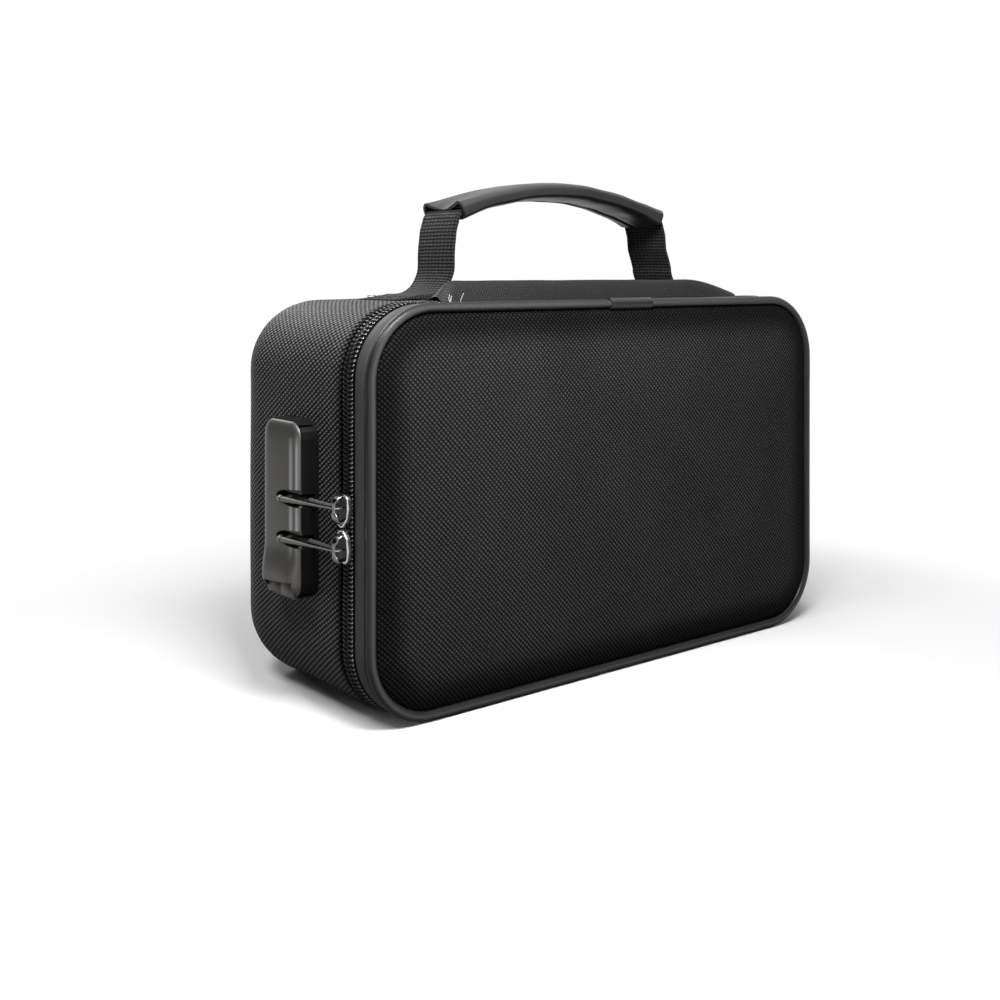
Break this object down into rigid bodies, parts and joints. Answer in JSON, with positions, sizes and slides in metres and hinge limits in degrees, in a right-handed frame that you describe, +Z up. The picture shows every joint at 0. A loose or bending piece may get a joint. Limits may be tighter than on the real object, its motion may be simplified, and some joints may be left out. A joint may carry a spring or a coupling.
{
  "type": "fireproof document bag",
  "caption": "Padded document case in black woven nylon with a top-hinged zipped lid, a carrying handle and a combination lock on its side.",
  "frame": {"origin": "middle of the case's base, on the surface that it stands on", "axes": "+X along the width, to the right seen from the lid; +Y from the lid to the back; +Z up"},
  "size_m": [0.2404, 0.1028, 0.185],
  "materials": {
    "nylon": "woven ballistic nylon with a dotted diagonal weave",
    "binding": "smooth dark leatherette, satin",
    "grip_leather": "glossy dark leatherette",
    "webbing": "ribbed woven webbing",
    "tape": "woven zip tape",
    "coil": "moulded monofilament coil",
    "padding": "heat-resisting felt",
    "lining": "silver-coated glass cloth",
    "lock_finish": "satin gunmetal",
    "wire": "bright drawn wire",
    "steel": "plain pressed steel",
    "wheel_plastic": "dark moulded plastic with pale numbers"
  },
  "bodies": {
    "case": {"rear_shell": "nylon", "rear_insulation": "padding", "rear_lining": "lining", "zip_tape_rear": "tape", "zip_coil_rear": "coil", "hinge_gusset_rear": "nylon", "slider_upper": "lock_finish", "slider_lower": "lock_finish", "lock_housing": "lock_finish", "lock_cover": "lock_finish", "slide_detent_spring": "steel", "wheel_spindle": "steel", "lock_back_plate": "steel", "lock_screw_1": "steel", "lock_screw_2": "steel", "strap_left": "webbing", "strap_right": "webbing"},
    "lid": {"front_shell": "nylon", "front_insulation": "padding", "front_lining": "lining", "lid_binding": "binding", "lid_piping": "binding", "piping_joint_sleeve": "binding", "zip_tape_front": "tape", "zip_coil_front": "coil", "hinge_gusset_front": "nylon"},
    "handle": {"grip_cover": "grip_leather", "grip_core": "webbing"},
    "pull_upper": {"pull_upper": "wire"},
    "pull_lower": {"pull_lower": "wire"},
    "lock_slide": {"thumb_slide": "lock_finish", "hasp_bar": "steel"},
    "wheel_1": {"number_wheel_1": "wheel_plastic"},
    "wheel_2": {"number_wheel_2": "wheel_plastic"},
    "wheel_3": {"number_wheel_3": "wheel_plastic"}
  },
  "joints": [
    {"name": "lid_hinge", "type": "hinge", "parent": "case", "child": "lid", "pos_m": [0, -0.0359, 0.1464], "axis": [-1, 0, 0], "range_deg": [0, 170]},
    {"name": "handle_swing", "type": "hinge", "parent": "case", "child": "handle", "pos_m": [0, -0.0073, 0.1425], "axis": [-1, 0, 0], "range_deg": [-50, 50], "stiffness_Nm_per_rad": 0.03, "deforming": ["strap_left", "strap_right"]},
    {"name": "pull_upper_swing", "type": "hinge", "parent": "case", "child": "pull_upper", "pos_m": [-0.1189, -0.0367, 0.0728], "axis": [0, 0, 1], "range_deg": [0, 165]},
    {"name": "pull_lower_swing", "type": "hinge", "parent": "case", "child": "pull_lower", "pos_m": [-0.1189, -0.0367, 0.059], "axis": [0, 0, 1], "range_deg": [0, 165]},
    {"name": "slide_travel", "type": "slide", "parent": "case", "child": "lock_slide", "axis": [0, 0, 1], "range_m": [0, 0.005]},
    {"name": "wheel_1_turn", "type": "hinge", "parent": "case", "child": "wheel_1", "pos_m": [-0.119, 0.003, 0.0593], "axis": [0, 0, 1], "continuous": true},
    {"name": "wheel_2_turn", "type": "hinge", "parent": "case", "child": "wheel_2", "pos_m": [-0.119, 0.003, 0.0659], "axis": [0, 0, 1], "continuous": true},
    {"name": "wheel_3_turn", "type": "hinge", "parent": "case", "child": "wheel_3", "pos_m": [-0.119, 0.003, 0.0725], "axis": [0, 0, 1], "continuous": true}
  ]
}
